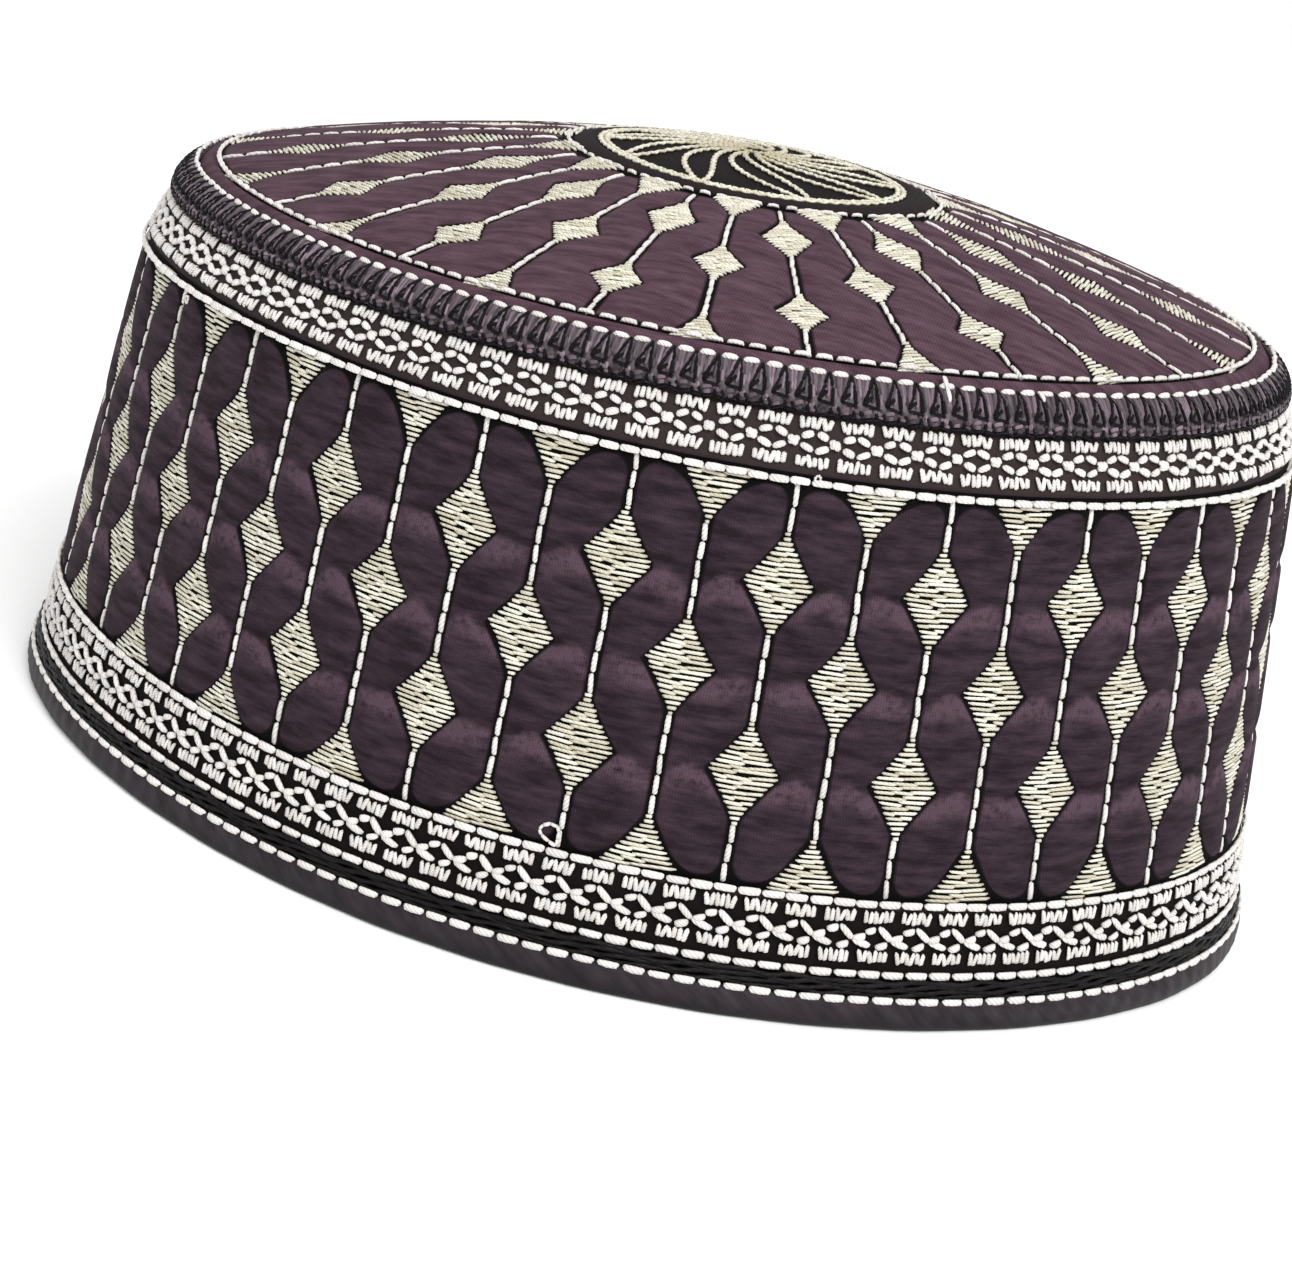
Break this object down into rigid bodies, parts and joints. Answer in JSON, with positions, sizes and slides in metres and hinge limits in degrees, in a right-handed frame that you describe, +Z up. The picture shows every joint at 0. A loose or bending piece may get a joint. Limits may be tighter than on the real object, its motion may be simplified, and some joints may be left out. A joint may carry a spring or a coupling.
{
  "type": "kufi cap",
  "caption": "Stiff oval prayer cap with a quilted leaning side band, a low domed crown, a raised seam roll between them and a bound brim; worn on the head.",
  "frame": {"origin": "middle of the rim's footprint, on the surface that the cap stands on", "axes": "+Z up through the crown, X front to back along the cap's length, with the wider half at +X"},
  "size_m": [0.2066, 0.1722, 0.1069],
  "materials": {
    "side_cloth": "quilted aubergine cloth with cream satin-stitch diamonds and stitched columns",
    "crown_cloth": "quilted aubergine cloth, lit a little lighter, with stitched spokes",
    "roll_thread": "dense purple overlock thread",
    "cord_thread": "black twisted thread",
    "binding_satin": "plain satin bias tape"
  },
  "bodies": {
    "root": {"side_band": "side_cloth", "crown_panel": "crown_cloth", "crown_seam_roll": "roll_thread", "rim_cord_band": "cord_thread", "brim_binding": "binding_satin"}
  },
  "joints": []
}
